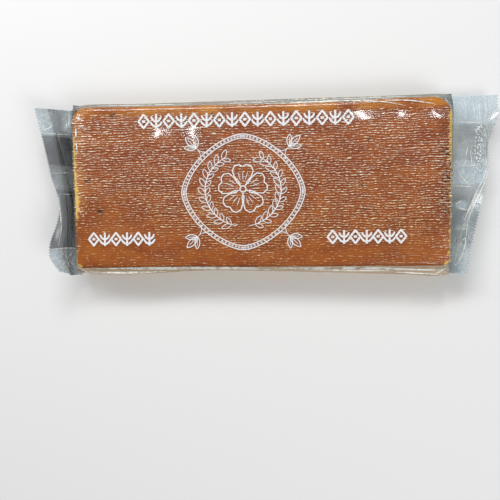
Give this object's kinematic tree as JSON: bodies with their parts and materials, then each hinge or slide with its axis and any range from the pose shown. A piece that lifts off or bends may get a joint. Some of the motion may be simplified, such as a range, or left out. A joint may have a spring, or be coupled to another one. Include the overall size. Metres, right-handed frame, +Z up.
{
  "type": "nougat block",
  "caption": "Flat slab of toasted nougat sealed in a clear film sleeve, with a pleated, saw-cut fin turned up at each end.",
  "frame": {"origin": "centre of the slab's flat underside, on the surface that the pack lies on", "axes": "+X along the slab towards the fin with the slanting pleat, +Y across the slab towards its back edge, +Z up out of the toasted face"},
  "size_m": [0.2278, 0.0877, 0.018],
  "materials": {
    "toasted_nougat_in_film": "clear glossy film drawn flat over browned nougat",
    "clear_film": "thin clear film, glossy and finely rippled, grey-blue where it lies in several layers",
    "toasted_nougat": "egg-yolk nougat, toasted orange-brown on its face, with yellow sides",
    "white_print": "opaque white ink on film"
  },
  "bodies": {
    "root": {"sealed_pack": "toasted_nougat_in_film"}
  },
  "joints": []
}
